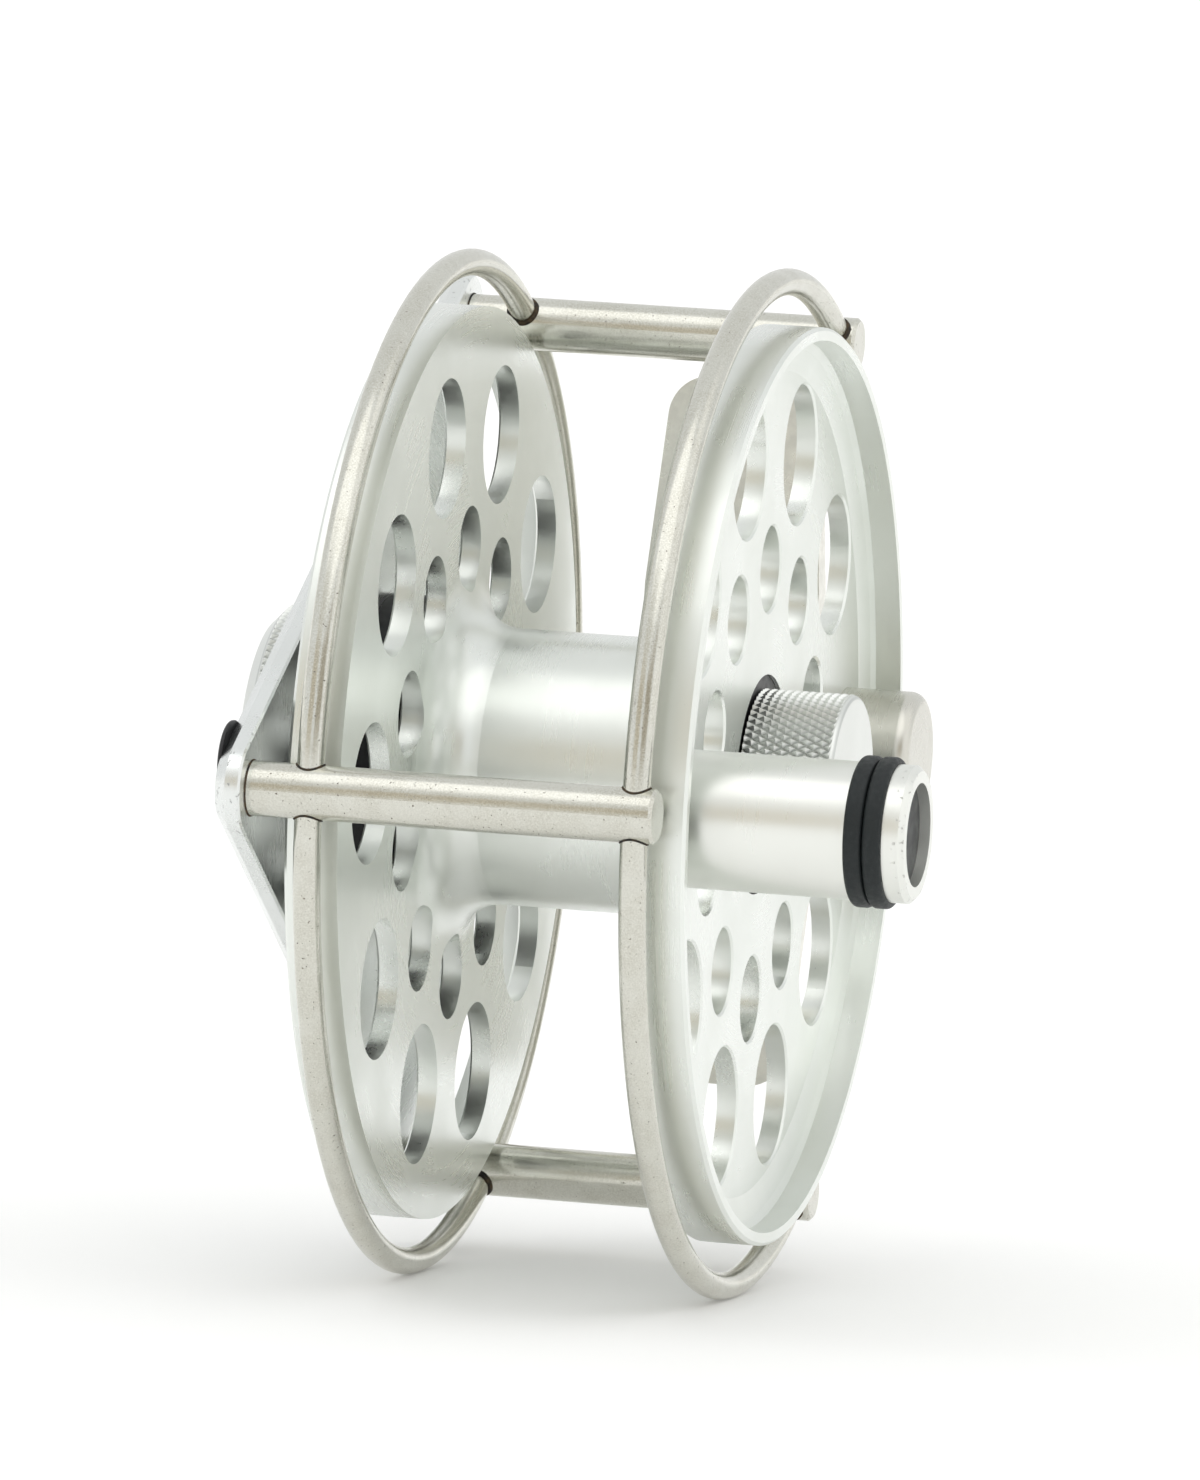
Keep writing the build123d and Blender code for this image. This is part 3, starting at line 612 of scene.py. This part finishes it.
def knurl(mesh, centre, x_ends, radius, count, rows):
    """A band of diamond teeth with small flats on top. Returns the vertices of its ends and their angles."""
    low, high = x_ends
    step = TURN / count
    groove_r = radius - KNURL_DEPTH

    def spot(s, row, r):
        a = s * step
        x = low + (high - low) * row / rows
        return mesh.verts.new((x, centre.y + r * math.cos(a), centre.z + r * math.sin(a)))

    grooves = []
    for row in range(rows + 1):
        shift = 0.5 * (row % 2)
        grooves.append([spot(i + shift, row, groove_r) for i in range(count)])
    ends = {0: [], rows: []}
    half = KNURL_FLAT / 2
    for row in range(rows + 1):
        shift = 0.5 * (row % 2)
        for i in range(count):
            heart = i + shift + 0.5
            beside = (i + row % 2) % count
            left, right = grooves[row][i], grooves[row][(i + 1) % count]
            top_left = spot(heart - half, row, radius)
            top_right = spot(heart + half, row, radius)
            tops = [top_left, None, top_right, None]
            if row < rows:
                above = grooves[row + 1][beside]
                tops[1] = spot(heart, row + KNURL_FLAT, radius)
                mesh.faces.new((left, top_left, tops[1], above))
                mesh.faces.new((above, tops[1], top_right, right))
            if row > 0:
                below = grooves[row - 1][beside]
                tops[3] = spot(heart, row - KNURL_FLAT, radius)
                mesh.faces.new((left, below, tops[3], top_left))
                mesh.faces.new((below, right, top_right, tops[3]))
            mesh.faces.new([top for top in tops if top])
            if row in ends:
                ends[row] += [left, top_left, top_right]
    angles = []
    for i in range(count):
        angles += [i * step, (i + 0.5 - half) * step, (i + 0.5 + half) * step]
    return ends[0], ends[rows], angles


def lathe(mesh, centre, start, profile, angles):
    """Carry a ring of vertices along a profile of (x, radius) points."""
    ring = start
    for x, radius in profile:
        following = circle(mesh, centre, x, radius, angles)
        join(mesh, ring, following)
        ring = following
    return ring


def make_spool_cap():
    """The knurled release cap: diamond teeth, a smooth rounded band and a flat face."""
    low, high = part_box("spool_cap")
    radius = half_width("spool_cap")
    washer_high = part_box("cap_washer")[1].x
    thread_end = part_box("spindle")[1].x + CAP_THREAD_RUNOUT
    washer_r = half_width("cap_washer") + 2 * RUNNING_GAP
    bore_r = THREAD_BORE_R
    teeth = round(TURN * radius / KNURL_PITCH)
    rows = round((high.x - low.x - CAP_BAND - CAP_EDGE) / KNURL_ROW)
    mesh = bmesh.new()
    knurl_ends = (low.x + CAP_EDGE, high.x - CAP_BAND)
    rear, front, angles = knurl(mesh, SPOOL_AXIS, knurl_ends, radius, teeth, rows)
    shoulder = radius - CAP_EDGE
    profile = [(high.x - CAP_BAND + CAP_EDGE, shoulder)]
    for i in range(CAP_ROUNDING_STEPS + 1):
        a = TURN / 4 * i / CAP_ROUNDING_STEPS
        profile.append((
            high.x - CAP_ROUNDING * (1 - math.sin(a)),
            shoulder - CAP_ROUNDING * (1 - math.cos(a)),
        ))
    profile += [(high.x, shoulder / 2), (high.x, 0)]
    lathe(mesh, SPOOL_AXIS, front, profile, angles)
    lathe(mesh, SPOOL_AXIS, rear, [
        (low.x, radius - KNURL_DEPTH - CAP_EDGE / 2),
        (low.x, washer_r),
        (washer_high + RUNNING_GAP, washer_r),
        (washer_high + RUNNING_GAP, bore_r),
        (thread_end, bore_r),
        (thread_end, 0),
    ], angles)
    cap = link_mesh("knurled_spool_cap", mesh, KNURL_SMOOTH)
    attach(cap, "spool_cap")
    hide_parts("spool_cap")
    return cap


def make_drag_knob():
    """The knurled drag knob: diamond teeth, a smooth bevel, and pockets for the spring, nut and clip."""
    low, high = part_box("drag_knob")
    radius = half_width("drag_knob")
    cover_r = half_width("knob_cover")
    nut_r = half_width("adjuster_nut") + RUNNING_GAP
    spring_r = half_width("drag_spring") + SPRING_CLEARANCE
    bore_r = THREAD_BORE_R
    teeth = round(TURN * radius / KNURL_PITCH)
    knurl_ends = (low.x + KNOB_CHAMFER, high.x - KNOB_EDGE)
    rows = round((knurl_ends[1] - knurl_ends[0]) / KNURL_ROW)
    mesh = bmesh.new()
    rear, front, angles = knurl(mesh, SPOOL_AXIS, knurl_ends, radius, teeth, rows)
    last = lathe(mesh, SPOOL_AXIS, front, [
        (high.x, radius - KNOB_EDGE),
        (high.x, spring_r),
        (high.x - SPRING_POCKET, spring_r),
        (high.x - SPRING_POCKET, nut_r),
        (high.x - NUT_POCKET, nut_r),
        (high.x - NUT_POCKET, bore_r),
        (low.x + CLIP_POCKET, bore_r),
        (low.x + CLIP_POCKET, cover_r),
        (low.x, cover_r),
        (low.x, radius - KNOB_CHAMFER),
        (low.x + KNOB_CHAMFER - KNOB_STEP, radius - KNOB_STEP_DEPTH),
    ], angles)
    join(mesh, last, rear)
    knob = link_mesh("knurled_drag_knob", mesh, KNURL_SMOOTH)
    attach(knob, "drag_knob")
    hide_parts("drag_knob")
    return knob


def thread_tube(mesh, path, radius):
    """A thin closed tube along a closed path of points."""
    count = len(path)
    angles = [TURN * k / SHADE_LINE_SIDES for k in range(SHADE_LINE_SIDES)]
    rings = []
    for i, point in enumerate(path):
        ahead = (path[(i + 1) % count] - path[i - 1]).normalized()
        out = ahead.cross(Vector((1, 0, 0)) if abs(ahead.x) < 0.9 else Vector((0, 1, 0))).normalized()
        side = ahead.cross(out)
        rings.append([
            mesh.verts.new(point + radius * (math.cos(a) * out + math.sin(a) * side)) for a in angles
        ])
    for i, ring in enumerate(rings):
        following = rings[(i + 1) % count]
        best = min(range(SHADE_LINE_SIDES), key=lambda k: (following[k].co - ring[0].co).length)
        join(mesh, ring, following[best:] + following[:best])


def make_joint_shade_lines():
    """Painted shade: dark tubes where the rings enter the bars and where the bars stand on the plate."""
    mesh = bmesh.new()
    turns = [TURN * i / SHADE_LINE_STEPS for i in range(SHADE_LINE_STEPS)]
    rod_r = (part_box("front_ring")[1].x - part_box("front_ring")[0].x) / 2
    ring_r = half_width("front_ring") - rod_r
    plate_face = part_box("back_plate")[1].x
    for bar in ("crossbar_front", "crossbar_bottom", "crossbar_top"):
        centre = middle(bar)
        bar_r = half_width(bar)
        y, z = centre.y - SPOOL_AXIS.y, centre.z - SPOOL_AXIS.z
        circle_r, bar_angle = math.hypot(y, z), math.atan2(z, y)
        # Painted shade: a thin line at the front bar's closed joints, a thicker one where a gap shows at the
        # other bars.
        thickness = SHADE_LINE_R if bar == "crossbar_front" else GAP_SHADE_R
        for ring in ("rear_ring", "front_ring"):
            ring_x = middle(ring).x
            for side in (-1, 1):
                path = []
                for phi in turns:
                    r = ring_r + rod_r * math.cos(phi)
                    reach = math.acos((r * r + circle_r * circle_r - bar_r * bar_r) / (2 * r * circle_r))
                    a = bar_angle + side * reach
                    x = ring_x + rod_r * math.sin(phi)
                    path.append(Vector((x, SPOOL_AXIS.y + r * math.cos(a), SPOOL_AXIS.z + r * math.sin(a))))
                thread_tube(mesh, path, thickness)
        thread_tube(mesh, [
            Vector((plate_face, centre.y + bar_r * math.cos(phi), centre.z + bar_r * math.sin(phi)))
            for phi in turns
        ], SHADE_LINE_R)
    shade_lines = link_mesh("cage_joint_shade_lines", mesh, SHADE_LINE_SMOOTH)
    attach(shade_lines, "frame")
    return shade_lines


def make_pieces(recipes):
    dressed = (
        (make_spool_cap(), "cap_aluminium"),
        (make_drag_knob(), "knob_aluminium"),
        (make_joint_shade_lines(), "joint_shade_and_rust"),
    )
    for piece, recipe in dressed:
        piece.data.materials.append(recipes[recipe].material)


make_camera()
make_studio()
recipes = build_materials()
dress_nodes(recipes)
make_pieces(recipes)
bpy.context.scene.view_settings.view_transform = "Standard"
